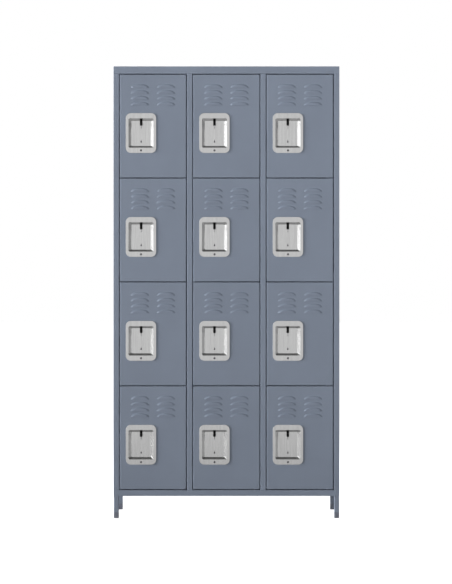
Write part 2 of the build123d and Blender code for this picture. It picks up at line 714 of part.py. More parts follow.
# ------------------------------------------------------------------ trigger and latch
FORK_HALF = EYE_HALF + 0.4
FORK_BRIDGE = 2.5
with BuildPart() as trigger:
    with BuildSketch(front_plane(LATCH_FRONT)):
        radius = TRIGGER_WIDTH / 2
        with Locations((0, (TRIGGER_TOP + TRIGGER_BOTTOM + radius) / 2)):
            Rectangle(TRIGGER_WIDTH, TRIGGER_TOP - TRIGGER_BOTTOM - radius)
        with Locations((0, TRIGGER_BOTTOM + radius)):
            Circle(radius)
    extrude(amount=LATCH_FRONT - TRIGGER_FRONT)
    with BuildSketch(front_plane(WELL_DEPTH + 2.5)):
        with Locations((0, (TRIGGER_BOTTOM + TRIGGER_TOP) / 2)):
            Rectangle(2 * FORK_HALF, TRIGGER_TOP - TRIGGER_BOTTOM + 4)
    extrude(amount=WELL_DEPTH + 2.5 - TRIGGER_FRONT - FORK_BRIDGE, mode=Mode.SUBTRACT)
    with BuildSketch(side_plane(-TRIGGER_WIDTH)):
        with Locations(SHACKLE):
            Circle(SHACKLE_RADIUS)
    extrude(amount=2 * TRIGGER_WIDTH, mode=Mode.SUBTRACT)

ARM_LEFT = 5 - DOOR_GAP - CUP_X  # the arm's end, 5 mm inside the opening
PLATE_WIDTH, PLATE_CORNER = 16.0, 2.0
GUIDE_SLOT = 5.4
with BuildPart() as latch_plate:
    with BuildSketch(front_plane(LATCH_FRONT + LATCH_SHEET)):
        with Locations((0, (LATCH_TOP + LATCH_BOTTOM) / 2)):
            RectangleRounded(PLATE_WIDTH, LATCH_TOP - LATCH_BOTTOM, PLATE_CORNER)
        with Locations((ARM_LEFT / 2, (ARM_BOTTOM + ARM_TOP) / 2)):
            Rectangle(-ARM_LEFT, ARM_TOP - ARM_BOTTOM)
        with Locations((0, GUIDE_Z - LIFT / 2)):
            SlotOverall(LIFT + GUIDE_SLOT + 1, GUIDE_SLOT, rotation=90, mode=Mode.SUBTRACT)
    extrude(amount=LATCH_SHEET)

# ------------------------------------------------------------------ the twelve doors
for row, column in CELLS:
    place = cell(row, column)
    tag = f"r{row + 1}c{column + 1}"
    write(door_panel.part.moved(place), f"door_panel_{tag}")
    cup = [cup_shell.part, padlock_eye.part, guide_rivet.part, lip_screw.part]
    write(Compound(children=[piece.moved(place) for piece in cup]), f"handle_cup_{tag}")
    latch = [trigger.part, latch_plate.part]
    write(Compound(children=[piece.moved(place) for piece in latch]), f"latch_{tag}")
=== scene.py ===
"""Looks of the twelve-door steel locker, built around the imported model.

Shapes are drawn in millimetres and placed from the frame's boxes. A sheet part is drawn as its
outer surface, then thickened. Y is depth: the doors face -Y.
"""

import math

import bmesh
import bpy
from mathutils import Matrix, Vector


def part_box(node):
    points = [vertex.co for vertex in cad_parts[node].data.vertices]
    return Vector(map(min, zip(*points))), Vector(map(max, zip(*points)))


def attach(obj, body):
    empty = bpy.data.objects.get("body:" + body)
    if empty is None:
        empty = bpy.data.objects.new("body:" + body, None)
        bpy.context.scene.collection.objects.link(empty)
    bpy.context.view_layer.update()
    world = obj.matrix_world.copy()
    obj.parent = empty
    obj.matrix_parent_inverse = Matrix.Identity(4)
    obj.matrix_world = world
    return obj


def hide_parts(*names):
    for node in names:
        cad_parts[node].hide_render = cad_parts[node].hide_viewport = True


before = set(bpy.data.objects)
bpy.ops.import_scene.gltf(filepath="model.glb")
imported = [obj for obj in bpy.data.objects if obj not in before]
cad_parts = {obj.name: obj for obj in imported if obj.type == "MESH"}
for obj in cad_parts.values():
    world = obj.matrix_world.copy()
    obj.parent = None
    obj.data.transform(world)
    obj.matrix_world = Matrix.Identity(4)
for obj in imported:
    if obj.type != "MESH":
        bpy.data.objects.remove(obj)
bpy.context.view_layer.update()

MM = 0.001
ROWS, COLUMNS = 4, 3
CELLS = [f"r{row + 1}c{column + 1}" for row in range(ROWS) for column in range(COLUMNS)]

# ---------------------------------------- sizes, in millimetres
SHEET = 1.0  # thickness of the doors and mullions
PANEL = 0.8  # thickness of the casing, shelves and cups
BEND = 2.0  # outside radius of the top cover's folds, and of a door's corners
FOLD = 1.9  # outside radius of the folds around the doors
CORNER = 1.2  # outside radius of the body's upright corners, and of the base's folds
SHELF_BEND = 1.5
BACK_BEND = 1.0
BACK_CORNER = 0.8
LEAST_CORNER = 0.3  # left at a tray's corner where its inset has used the radius up
FACE_RIM = 6.0  # flat border drawn around the faces of the top cover and base
INNER_RIM = 5.0  # and around those of the back panels and shelves

STRIKE_DEPTH = 22.0  # of the strike flange behind the front
RETURN_DEPTH = 30.0  # of a frame member's fold on its hinge side
STRIKE = 12.0  # how far the strike flange stands into the opening
MEMBER = 22.0  # face of a stile or mullion
RETURN_SHORT = 0.6  # how far a mullion's return stops short of its middle
STRIKE_NOTCH = (23.5, 36.0)  # of a strike flange, above its cup's middle
STRIKE_NOTCH_START = 2.5  # from the opening's edge
TOP_LIP = 18.0
ANCHOR_SPACING = 600.0
ANCHOR_RISE = 15.0  # above the top panel's lower edge
ANCHOR_RADIUS = 4.0
ANCHOR_CUT = 6.0  # how far its cutter runs to either side of the sheet

PAN_DEPTH = 18.0
PAN_LIP = 12.0
PAN_RIM = 6.5  # flat border drawn around the face of a door
LOUVRE_HALF = 37.5
LOUVRE_HEIGHT = 14.5
LOUVRE_END = 31.0  # length of its rounded ends
LOUVRE_FLAT = 0.15  # share of its columns between them
LOUVRE_SHOULDER = 0.32  # share of its reach over which it rises
LOUVRE_RIM = 1.2  # flat sheet kept around it
LOUVRE_RISE = 2.1
LOUVRE_PITCH = 23.2
LOUVRE_OFFSET = 52.0
LOUVRE_DROP = 38.5
LOUVRES = 4
LOUVRE_GRID = (32, 9)  # columns and rows of its faces

# Widths, heights and corner radii, across the front.
FLANGE = (121.0, 159.0, 20.0)
MOUTH = (99.0, 116.6, 6.0)
WELL = (80.0, 103.4, 5.0)
FLANGE_PROUD = 2.6
FLANGE_ROLL = 0.4
FLANGE_RIM = 3.2  # flat border drawn around the flange
MOUTH_ROLL = 0.35
MOUTH_RIM = 0.8  # flat border drawn around the mouth
MOUTH_CLEARANCE = 1.6
WELL_BLEND = 1.8
WELL_DEPTH = 21.4
WELL_RIM = 1.0  # flat border drawn around the well's floor
WELL_CORNERS = (1.0, 1.5)  # least radius on the blend, and the floor's
SLOT_HALF = 5.0
SLOT_BOTTOM, SLOT_TOP = 29.5, 57.0
SLOT_CUT = (8.0, 30.0)  # depths between which its cutter runs
NOTCH = (3.4, 14.0, 1.0)  # narrow end of the slot
NOTCH_DROP = 2.5  # its middle, below the slot's lower end
NOTCH_CUT = (15.0, 30.0)

TRIGGER_HALF = 4.5
TRIGGER_BOTTOM, TRIGGER_TOP = 30.2, 44.0
TRIGGER_FRONT = 3.4
TRIGGER_EDGE = 0.5
SMALL_EDGE = 0.3  # bevel of the eye and the latch plate
FORK_HALF = 1.9
FORK_FRONT, FORK_BACK = 5.9, 23.9
FORK_BOTTOM, FORK_TOP = 20.0, 50.0
EYE_HALF = 1.5
EYE_FRONT, EYE_NECK, EYE_BACK = 7.4, 11.4, 22.2
EYE_DROP = 9.0  # below the slot
EYE_SHORT = 2.0  # below the trigger's top
EYE_SLOPE = 6.0  # height of its sloping lower edge
SHACKLE = (13.5, TRIGGER_BOTTOM + 6.8)  # depth and height of the padlock hole
SHACKLE_RADIUS = 4.0
CUTTER_REACH = 12.0  # how far the shackle's cutter runs to either side

LATCH_FRONT = 25.5
LATCH_SHEET = 2.0
LATCH_PLATE = (16.0, 2.0)  # width and corner
LATCH_GUIDE = (5.4, 15.4, 2.6)  # slot that the guide rivet runs in
LATCH_GUIDE_DROP = 4.5  # middle of that slot, below the rivet
ARM_BOTTOM, ARM_TOP = 15.0, 25.0
ARM_INSET = 0.02  # keeps the arm's faces off the plate's

GUIDE_Z = -34.0
RIVET_RADIUS = 2.5
RIVET_REACH = (0.2, 6.2, 7.0)  # start of its shank, its back head's seat and end
RIVET_BACK = 4.5  # radius of its back head
RIVET_HEAD = (3.1, 8.6, 1.1)  # radius, height drawn out upwards and rise of its head in the well
LIP_SCREW_Z = -69.25
LIP_SCREW_HEAD = (4.2, 1.6)  # radius and height
LIP_SCREW_SHANK = (2.0, 8.0)  # radius and length
LIP_SCREW_CROSS = (2.3, -3.0, -0.7)  # reach and depths of its cross recess
CROSS_ARM = 0.22  # half width of a cross's arm, as a share of its reach
DOME_END = 0.96  # share of a quarter turn at which a domed head closes
RIVET_DOME_END = 0.94

FOOT_CORNER = 2.5
FOOT_TREAD = ((1.6, 0.0), (0.5, 0.4), (0.0, 1.4))  # its eased edge: how much narrower, by height
FOOT_HEIGHT = 24.0
FOOT_RIM = 0.8  # height of its narrower rim
FOOT_STEP = 0.6  # how much narrower the rim is, and the height of the step to it
FOOT_PLUG_TOP = 38.0
FOOT_PLUG_INSET = 2.6  # how much narrower the plug is

# ---------------------------------------- studio, in metres
FLOOR_SIZE = 120.0
FLOOR_Z = -0.0005
FLOOR_TONE = (0.55, 0.55, 0.55)
FLOOR_GLOW = 0.9
FLOOR_LIGHT = (0.26, 0.64)  # near the locker and far from it
FLOOR_SPAN = (1.0, 3.2)  # distances at which near ends and far starts
BAND_TOP = 0.62  # sine of the height at which the level light has faded
ZENITH = 0.15
BRIGHT_SIDE = (-0.70, -0.70, 0.0)
SIDE_LIGHT, BRIGHT_LIGHT = 0.32, 0.97
KEY_FROM = (-0.985, -0.17, 0.04)
KEY_POWER = 7.2
KEY_SPREAD = 29.0  # degrees
SHEEN_FROM = (-0.80, -0.60, 0.0)
SHEEN_POWER = 1.35
SHEEN_SPREAD = 60.0  # degrees
FILL_SIZE = (3.0, 3.0)
SIDE_FILL_FROM, SIDE_FILL_POWER = (4.0, 2.4, 1.6), 185
TOP_FILL_FROM, TOP_FILL_POWER = (-0.6, 1.8, 4.6), 165
BODY_MIDDLE, BODY_TOP = (0, 0.1, 0.9), (0, 0.1, 1.8)
PICTURE_SPAN = 2.3262  # height that the picture takes in at the doors
CAMERA_DISTANCE = 9.4
CAMERA_X, CAMERA_Z = -0.0019, 0.9008
SENSOR = 36.0  # millimetres

# ---------------------------------------- places, from the frame
def panel_box(node):
    """A node's lowest and highest corner, in millimetres."""
    low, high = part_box(node)
    return low / MM, high / MM


front = panel_box("left_mullion")[0].y
door_low, door_high = panel_box("door_panel_r1c1")
DOOR_WIDTH = door_high.x - door_low.x
DOOR_HEIGHT = door_high.z - door_low.z
cup_low, cup_high = panel_box("handle_cup_r1c1")
CUP_X = (cup_low.x + cup_high.x) / 2 - door_low.x
CUP_Z = (cup_low.z + cup_high.z) / 2 - door_low.z


def door_origin(cell):
    """Lower left front corner of a door, in millimetres."""
    low = panel_box(f"door_panel_{cell}")[0]
    return Vector((low.x, front, low.z))


def cup_origin(cell):
    """Middle of a cup, on the plane of the door's front."""
    return door_origin(cell) + Vector((CUP_X, 0, CUP_Z))


def rivet_origin(cell):
    """Where a guide rivet's head sits on the well's floor."""
    return cup_origin(cell) + Vector((0, WELL_DEPTH, GUIDE_Z))


def screw_origin(cell):
    """Where a screw's head sits on the cup's lower lip."""
    return cup_origin(cell) + Vector((0, -FLANGE_PROUD, LIP_SCREW_Z))


# ---------------------------------------- material nodes
PATTERN_SHIFT = (17, 31, 23)  # most that a piece's pattern is shifted by, so that pieces differ


def new_material(name, base, roughness, metallic=0.0):
    """A material, its node tree, its shader and a coordinate that differs between pieces."""
    material = bpy.data.materials.new(name)
    material.use_nodes = True
    tree = material.node_tree
    shader = tree.nodes["Principled BSDF"]
    shader.inputs["Base Color"].default_value = (*base, 1)
    shader.inputs["Roughness"].default_value = roughness
    shader.inputs["Metallic"].default_value = metallic
    place = tree.nodes.new("ShaderNodeTexCoord")
    info = tree.nodes.new("ShaderNodeObjectInfo")
    shift = tree.nodes.new("ShaderNodeVectorMath")
    shift.operation = "SCALE"
    shift.inputs[0].default_value = PATTERN_SHIFT
    tree.links.new(info.outputs["Random"], shift.inputs["Scale"])
    shifted = tree.nodes.new("ShaderNodeVectorMath")
    shifted.operation = "ADD"
    tree.links.new(place.outputs["Object"], shifted.inputs[0])
    tree.links.new(shift.outputs[0], shifted.inputs[1])
    return material, tree, shader, shifted.outputs[0]


def noise_node(tree, vector, scale, detail=3.0, stretch=None):
    """A noise texture's value, stretched if three factors are given."""
    texture = tree.nodes.new("ShaderNodeTexNoise")
    texture.inputs["Scale"].default_value = scale
    texture.inputs["Detail"].default_value = detail
    if stretch:
        mapping = tree.nodes.new("ShaderNodeMapping")
        mapping.inputs["Scale"].default_value = stretch
        tree.links.new(vector, mapping.inputs["Vector"])
        vector = mapping.outputs["Vector"]
    tree.links.new(vector, texture.inputs["Vector"])
    return texture.outputs["Fac"]


def spread_between(tree, factor, low, high, span=(0.3, 0.7)):
    """Maps a span of a value, by default a noise's middle range, onto low to high."""
    node = tree.nodes.new("ShaderNodeMapRange")
    node.inputs["From Min"].default_value, node.inputs["From Max"].default_value = span
    node.inputs["To Min"].default_value, node.inputs["To Max"].default_value = low, high
    tree.links.new(factor, node.inputs["Value"])
    return node.outputs["Result"]


def two_tones(tree, factor, first, second):
    """A colour between two tones."""
    node = tree.nodes.new("ShaderNodeMix")
    node.data_type = "RGBA"
    node.inputs["A"].default_value = (*first, 1)
    node.inputs["B"].default_value = (*second, 1)
    tree.links.new(factor, node.inputs["Factor"])
    return node.outputs["Result"]


def add_bump(tree, shader, heights):
    """Chains bumps, each a height and its distance in metres, into the shader's normal."""
    normal = None
    for height, distance in heights:
        bump = tree.nodes.new("ShaderNodeBump")
        bump.inputs["Distance"].default_value = distance
        tree.links.new(height, bump.inputs["Height"])
        if normal:
            tree.links.new(normal, bump.inputs["Normal"])
        normal = bump.outputs["Normal"]
    tree.links.new(normal, shader.inputs["Normal"])


def vary_tone(tree, shader, pattern, tone, amount):
    """Lets a noise darken and lighten a tone by a share of itself."""
    darker = [channel * (1 - amount) for channel in tone]
    lighter = [channel * (1 + amount) for channel in tone]
    shade = spread_between(tree, pattern, 0, 1)
    tree.links.new(two_tones(tree, shade, darker, lighter), shader.inputs["Base Color"])


def powder_coat(name, tone):
    """Satin powder coat: orange peel over a faint waviness of the sheet, with slight clouding."""
    material, tree, shader, place = new_material(name, tone, 0.42)
    vary_tone(tree, shader, noise_node(tree, place, 5.0, 4.0), tone, 0.035)
    smears = noise_node(tree, place, 9.0, 5.0)
    tree.links.new(spread_between(tree, smears, 0.38, 0.48), shader.inputs["Roughness"])
    peel = noise_node(tree, place, 620.0, 2.0)
    grain = noise_node(tree, place, 1900.0, 1.0)
    wave = noise_node(tree, place, 7.0, 1.0)
    add_bump(tree, shader, [(wave, 0.0005), (peel, 0.00007), (grain, 0.00002)])
    return material


def satin_steel(name, tone, roughness, streak):
    """Brushed metal: long fine scratches along the streak, with drifting gloss."""
    material, tree, shader, place = new_material(name, tone, roughness, 1.0)
    scratches = noise_node(tree, place, 260.0, 4.0, streak)
    vary_tone(tree, shader, scratches, tone, 0.05)
    drift = noise_node(tree, place, 30.0, 3.0)
    gloss = spread_between(tree, drift, roughness - 0.01, roughness + 0.015)
    tree.links.new(gloss, shader.inputs["Roughness"])
    add_bump(tree, shader, [(scratches, 0.000012)])
    return material


def moulded(name, tone, roughness, grain_size):
    """Moulded plastic or rubber with a fine grained skin."""
    material, tree, shader, place = new_material(name, tone, roughness)
    grain = noise_node(tree, place, 1 / grain_size, 3.0)
    vary_tone(tree, shader, noise_node(tree, place, 60.0, 3.0), tone, 0.15)
    gloss = spread_between(tree, grain, roughness - 0.06, roughness + 0.06)
    tree.links.new(gloss, shader.inputs["Roughness"])
    add_bump(tree, shader, [(grain, 0.00004)])
    return material


PAINT_TONE = (0.266, 0.312, 0.400)
paint = powder_coat("cabinet_powder_coat", PAINT_TONE)
door_paint = powder_coat("door_powder_coat", PAINT_TONE)
stainless = satin_steel("satin_stainless", (0.74, 0.74, 0.74), 0.24, (1.0, 1.0, 0.04))
zinc = satin_steel("zinc_plate", (0.46, 0.47, 0.49), 0.36, (1.0, 1.0, 1.0))
dark_steel = satin_steel("dark_plated_steel", (0.20, 0.20, 0.21), 0.42, (1.0, 1.0, 1.0))
# Black plastic for the trigger and latch plate, partly painted shade: its tone is near zero and
# its specular lowered, darker than real black plastic, so the slot through the well reads as deep
# shade.
black = moulded("black_trigger", (0.004, 0.004, 0.0045), 0.42, 0.0006)
black.node_tree.nodes["Principled BSDF"].inputs["Specular IOR Level"].default_value = 0.15
foot_plastic = moulded("foot_plastic", (0.215, 0.232, 0.285), 0.5, 0.0008)
rubber = moulded("buffer_rubber", (0.02, 0.02, 0.02), 0.7, 0.0007)


# ---------------------------------------- outlines
def rounded_rectangle(width, height, radius, steps=8):
    """Points of a rounded rectangle about the origin, the same number whatever its size."""
    points = []
    for quarter, (side, end) in enumerate(((1, 1), (-1, 1), (-1, -1), (1, -1))):
        centre = Vector((side * (width / 2 - radius), end * (height / 2 - radius)))
        for step in range(steps + 1):
            angle = (quarter + step / steps) * math.pi / 2
            points.append(centre + radius * Vector((math.cos(angle), math.sin(angle))))
    return points


def rounded_path(corners, radius, steps=5):
    """An open line in a plane, with an arc at each inner corner."""
    path = [Vector(corners[0])]
    for before, corner, after in zip(corners, corners[1:], corners[2:]):
        corner = Vector(corner)
        back = (Vector(before) - corner).normalized()
        on = (Vector(after) - corner).normalized()
        half = back.angle(on) / 2
        centre = corner + (back + on).normalized() * radius / math.sin(half)
        first = corner + back * radius / math.tan(half) - centre
        last = corner + on * radius / math.tan(half) - centre
        turn = math.pi - 2 * half
        for step in range(steps + 1):
            share = step / steps
            arm = first * math.sin((1 - share) * turn) + last * math.sin(share * turn)
            path.append(centre + arm / math.sin(turn))
    path.append(Vector(corners[-1]))
    return path


def arc(centre, radius, start, end, steps):
    """Points of an arc, in degrees."""
    angles = [math.radians(start + (end - start) * step / steps) for step in range(steps + 1)]
    return [Vector(centre) + radius * Vector((math.cos(a), math.sin(a))) for a in angles]


def upright(left, right, bottom, top):
    """The outline of a square-cornered rectangle."""
    return [Vector(p) for p in ((left, bottom), (right, bottom), (right, top), (left, top))]


# ---------------------------------------- mesh steps
def add_ring(mesh, points, depth, centre=(0, 0)):
    """A closed ring of vertices across the depth axis."""
    return [mesh.verts.new((centre[0] + p[0], depth, centre[1] + p[1])) for p in points]


def bridge(mesh, first, second, closed=True):
    """Faces between two rings or lines of as many vertices."""
    count = len(first)
    for i in range(count if closed else count - 1):
        j = (i + 1) % count
        corners = [first[i], first[j], second[j], second[i]]
        unique = list(dict.fromkeys(corners))
        if len(unique) > 2:
            mesh.faces.new(unique)


def loop_edges(mesh, verts, closed=True):
    """The edges along a line of vertices, made where they are missing."""
    pairs = list(zip(verts, verts[1:])) + ([(verts[-1], verts[0])] if closed else [])
    return [mesh.edges.get(pair) or mesh.edges.new(pair) for pair in pairs]


def fill(mesh, edges):
    """Flat faces inside an outline, around the holes in it."""
    made = bmesh.ops.triangle_fill(mesh, use_beauty=True, edges=edges, normal=(0, -1, 0))
    return [item for item in made["geom"] if isinstance(item, bmesh.types.BMFace)]


def turn_outwards(mesh, face, outwards):
    """Makes all faces agree, with one known face looking outwards."""
    bmesh.ops.recalc_face_normals(mesh, faces=mesh.faces[:])
    if face.normal.dot(outwards) < 0:
        bmesh.ops.reverse_faces(mesh, faces=mesh.faces[:])


def thicken(mesh, thickness):
    """Gives a surface its sheet's thickness, inwards."""
    bmesh.ops.solidify(mesh, geom=mesh.faces[:], thickness=thickness)
    bmesh.ops.recalc_face_normals(mesh, faces=mesh.faces[:])


def mark_sharp(mesh, degrees=32.0):
    """Smooth shading that breaks at the folds."""
    for face in mesh.faces:
        face.smooth = True
    for edge in mesh.edges:
        flat = len(edge.link_faces) == 2 and edge.calc_face_angle(0) < math.radians(degrees)
        edge.smooth = flat


def to_data(mesh, name, material, place=None):
    """Mesh data in metres, with its material."""
    if place:
        bmesh.ops.transform(mesh, matrix=place, verts=mesh.verts[:])
    mark_sharp(mesh)
    bmesh.ops.scale(mesh, vec=(MM, MM, MM), verts=mesh.verts[:])
    data = bpy.data.meshes.new(name)
    mesh.to_mesh(data)
    mesh.free()
    data.materials.append(material)
    return data


def put(name, data, body, nodes=(), origin=(0, 0, 0)):
    """A piece in its place, on its body and the nodes it stands for."""
    piece = bpy.data.objects.new(name, data)
    bpy.context.scene.collection.objects.link(piece)
    piece.location = Vector(origin) * MM
    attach(piece, body)
    if nodes:
        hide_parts(*nodes)
    shading = piece.modifiers.new("flat_faces_stay_flat", "WEIGHTED_NORMAL")
    shading.mode = "FACE_AREA_WITH_ANGLE"
    shading.keep_sharp = True
    return piece


def soften(piece, width, segments=2):
    """A small bevel on a piece's sharp edges."""
    bevel = piece.modifiers.new("edge", "BEVEL")
    bevel.width = width * MM
    bevel.segments = segments
    bevel.limit_method = "ANGLE"
    bevel.angle_limit = math.radians(40)
    bevel.harden_normals = True
    piece.modifiers.move(len(piece.modifiers) - 1, 0)


def cut(data, cutter, operation="DIFFERENCE"):
    """Mesh data with a cutter's mesh taken away, or joined on."""
    target = bpy.data.objects.new("target", data)
    tool = bpy.data.objects.new("tool", cutter)
    for item in (target, tool):
        bpy.context.scene.collection.objects.link(item)
    boolean = target.modifiers.new("cut", "BOOLEAN")
    boolean.operation = operation
    boolean.object = tool
    boolean.solver = "EXACT"
    graph = bpy.context.evaluated_depsgraph_get()
    result = bpy.data.meshes.new_from_object(target.evaluated_get(graph))
    bpy.data.objects.remove(target)
    bpy.data.objects.remove(tool)
    mesh = bmesh.new()
    mesh.from_mesh(result)
    mark_sharp(mesh)
    mesh.to_mesh(result)
    mesh.free()
    return result


# ---------------------------------------- general shapes
def tray(name, width, height, path, radius, thickness, material, place=None):
    """A folded tray: its face on the plane Y = 0, its walls along a path of inset and depth."""
    mesh = bmesh.new()
    rings = []
    for inset, depth in path:
        corner = max(radius - inset, LEAST_CORNER)
        outline = rounded_rectangle(width - 2 * inset, height - 2 * inset, corner, 4)
        rings.append(add_ring(mesh, outline, depth))
    for first, second in zip(rings, rings[1:]):
        bridge(mesh, first, second)
    faces = fill(mesh, loop_edges(mesh, rings[0]))
    turn_outwards(mesh, faces[0], Vector((0, -1, 0)))
    thicken(mesh, thickness)
    return to_data(mesh, name, material, place)


def folded(name, corners, radius, thickness, levels, missing=None):
    """An upright folded sheet from its outline in plan. missing says which cells are cut out."""
    mesh = bmesh.new()
    path = rounded_path(corners, radius)
    columns = [[mesh.verts.new((x, y, z)) for z in levels] for x, y in path]
    for i, (first, second) in enumerate(zip(columns, columns[1:])):
        middle = (path[i] + path[i + 1]) / 2
        for j in range(len(levels) - 1):
            if not (missing and missing(middle, (levels[j] + levels[j + 1]) / 2)):
                mesh.faces.new((first[j], second[j], second[j + 1], first[j + 1]))
    loose = [vert for vert in mesh.verts if not vert.link_faces]
    bmesh.ops.delete(mesh, geom=loose, context="VERTS")
    mesh.normal_update()
    thicken(mesh, thickness)
    return to_data(mesh, name, paint)


def prism(outline, near, far, holes=(), edge=0.0):
    """An outline with holes, in X and Z, run from one depth to another and bevelled by edge."""
    mesh = bmesh.new()
    edges = []
    for line in (outline, *holes):
        edges += loop_edges(mesh, add_ring(mesh, line, near))
    faces = fill(mesh, edges)
    grown = bmesh.ops.extrude_face_region(mesh, geom=faces)
    moved = [item for item in grown["geom"] if isinstance(item, bmesh.types.BMVert)]
    bmesh.ops.translate(mesh, vec=(0, far - near, 0), verts=moved)
    bmesh.ops.recalc_face_normals(mesh, faces=mesh.faces[:])
    bmesh.ops.dissolve_limit(mesh, angle_limit=0.01, verts=mesh.verts[:], edges=mesh.edges[:])
    if edge:
        rims = [e for e in mesh.edges if e.calc_face_angle(0) > math.radians(60)]
        bmesh.ops.bevel(mesh, geom=rims, offset=edge, segments=2, affect="EDGES", profile=0.5)
    return mesh


def turned(profile, steps=40):
    """A body of revolution about Y from (radius, depth) points, closed at both ends."""
    mesh = bmesh.new()
    rings = []
    turns = [2 * math.pi * step / steps for step in range(steps)]
    for radius, depth in profile:
        points = [(radius * math.cos(turn), radius * math.sin(turn)) for turn in turns]
        rings.append(add_ring(mesh, points, depth))
    for first, second in zip(rings, rings[1:]):
        bridge(mesh, first, second)
    mesh.faces.new(rings[0])
    mesh.faces.new(rings[-1])
    bmesh.ops.recalc_face_normals(mesh, faces=mesh.faces[:])
    return mesh


# ---------------------------------------- doors
def louvre_rise(reach):
    """How far a hood stands out, from its reach between its middle, 0, and its outline, 1."""
    share = min(1.0, max(0.0, (1 - reach) / LOUVRE_SHOULDER))
    return LOUVRE_RISE * share * share * (3 - 2 * share)


def add_louvre(mesh, centre, bottom):
    """One pressed hood, open along its lower edge. Returns the outline that the face is cut to."""
    columns, rows = LOUVRE_GRID
    flat = LOUVRE_HALF - LOUVRE_END
    hood, rims = [], []
    for column in range(columns + 1):
        along = 2 * column / columns - 1
        turn = max(0.0, abs(along) - LOUVRE_FLAT) / (1 - LOUVRE_FLAT) * math.pi / 2
        if turn:
            x = math.copysign(flat + LOUVRE_END * math.sin(turn), along)
        else:
            x = along / LOUVRE_FLAT * flat
        line = []
        for row in range(rows + 1):
            share = math.sin(row / rows * math.pi / 2)
            reach = math.hypot(share * math.cos(turn), math.sin(turn))
            z = share * LOUVRE_HEIGHT * math.cos(turn)
            line.append(mesh.verts.new((centre + x, -louvre_rise(reach), bottom + z)))
        hood.append(line)
        sideways = math.copysign(math.sin(turn) / LOUVRE_END, along)
        outwards = Vector((sideways, math.cos(turn) / LOUVRE_HEIGHT))
        rims.append(outwards.normalized() * LOUVRE_RIM)
    for line in (hood[0], hood[-1]):
        for vert in line[:-1]:
            mesh.verts.remove(vert)
        line[:] = [line[-1]] * (rows + 1)
    for first, second in zip(hood, hood[1:]):
        bridge(mesh, first, second, closed=False)
    sill = [mesh.verts.new((line[0].co.x, 0, bottom)) for line in hood[-2:0:-1]]
    outline = [line[-1] for line in hood] + sill
    rims += [Vector((0, -LOUVRE_RIM))] * len(sill)
    for end in (0, columns):
        rims[end].y = -LOUVRE_RIM
    rim = [
        mesh.verts.new((vert.co.x + step.x, 0, vert.co.z + step.y))
        for vert, step in zip(outline, rims)
    ]
    bridge(mesh, outline, rim)
    return loop_edges(mesh, rim)


def build_door():
    """The folded pan with its louvres and the mouth that the handle cup sits in."""
    mesh = bmesh.new()
    path = rounded_path([(PAN_RIM, 0), (0, 0), (0, PAN_DEPTH), (PAN_LIP, PAN_DEPTH)], FOLD)
    centre = (DOOR_WIDTH / 2, DOOR_HEIGHT / 2)
    rings = []
    for inset, depth in path:
        corner = max(BEND - inset, LEAST_CORNER)
        outline = rounded_rectangle(DOOR_WIDTH - 2 * inset, DOOR_HEIGHT - 2 * inset, corner, 4)
        rings.append(add_ring(mesh, outline, depth, centre))
    for first, second in zip(rings, rings[1:]):
        bridge(mesh, first, second)
    edges = loop_edges(mesh, rings[0])
    width, height, radius = (size + grow * MOUTH_CLEARANCE for size, grow in zip(MOUTH, (2, 2, 1)))
    mouth = add_ring(mesh, rounded_rectangle(width, height, radius), 0, (CUP_X, CUP_Z))
    edges += loop_edges(mesh, mouth)
    for side in (-1, 1):
        for number in range(LOUVRES):
            bottom = DOOR_HEIGHT - LOUVRE_DROP - LOUVRE_HEIGHT - number * LOUVRE_PITCH
            edges += add_louvre(mesh, DOOR_WIDTH / 2 + side * LOUVRE_OFFSET, bottom)
    faces = fill(mesh, edges)
    turn_outwards(mesh, faces[0], Vector((0, -1, 0)))
    thicken(mesh, SHEET)
    return to_data(mesh, "door_pan", door_paint)


# ---------------------------------------- handle cup
def slot_outline(half, bottom, top):
    """An upright slot with a round lower end."""
    lower = arc((0, bottom + half), half, 180, 360, 12)
    return lower + [Vector((half, top)), Vector((-half, top))]


def flange_sections():
    """The rolled outer edge of the cup's flange and its flat face, out to in."""
    sections = [(0, 0, FLANGE[2], 0)]
    for step in range(6):
        angle = step / 5 * math.pi / 2
        inset = FLANGE_ROLL * (1 - math.cos(angle))
        depth = FLANGE_ROLL * (1 - math.sin(angle)) - FLANGE_PROUD
        sections.append((inset, inset, FLANGE[2] - inset, depth))
    sections.append((FLANGE_RIM, FLANGE_RIM, FLANGE[2] - FLANGE_RIM, -FLANGE_PROUD))
    return sections


def mouth_sections(side, end):
    """The flat border of the mouth and its rolled edge. side and end are the mouth's insets."""
    flat = MOUTH_ROLL + MOUTH_RIM
    sections = [(side - flat, end - flat, MOUTH[2] + flat, -FLANGE_PROUD)]
    for step in range(6):
        angle = step / 5 * math.pi / 2
        short = MOUTH_ROLL * (1 - math.sin(angle))
        depth = -FLANGE_PROUD + MOUTH_ROLL * (1 - math.cos(angle))
        sections.append((side - short, end - short, MOUTH[2] + short, depth))
    return sections


def well_sections(side, end):
    """The blend between the drafted walls, from the mouth's insets down, and the well's floor."""
    low_side, low_end = (FLANGE[0] - WELL[0]) / 2, (FLANGE[1] - WELL[1]) / 2
    least, floor_corner = WELL_CORNERS
    sections = []
    for step in range(7):
        angle = step / 6 * math.pi / 2
        depth = WELL_DEPTH - WELL_BLEND * (1 - math.sin(angle))
        inwards = WELL_BLEND * (1 - math.cos(angle))
        slope = (WELL_DEPTH - depth) / (WELL_DEPTH + FLANGE_PROUD)
        width_in = low_side - slope * (low_side - side) + inwards
        end_in = low_end - slope * (low_end - end) + inwards
        sections.append((width_in, end_in, max(WELL[2] - inwards, least), depth))
    rim = WELL_BLEND + WELL_RIM
    sections.append((low_side + rim, low_end + rim, floor_corner, WELL_DEPTH))
    return sections


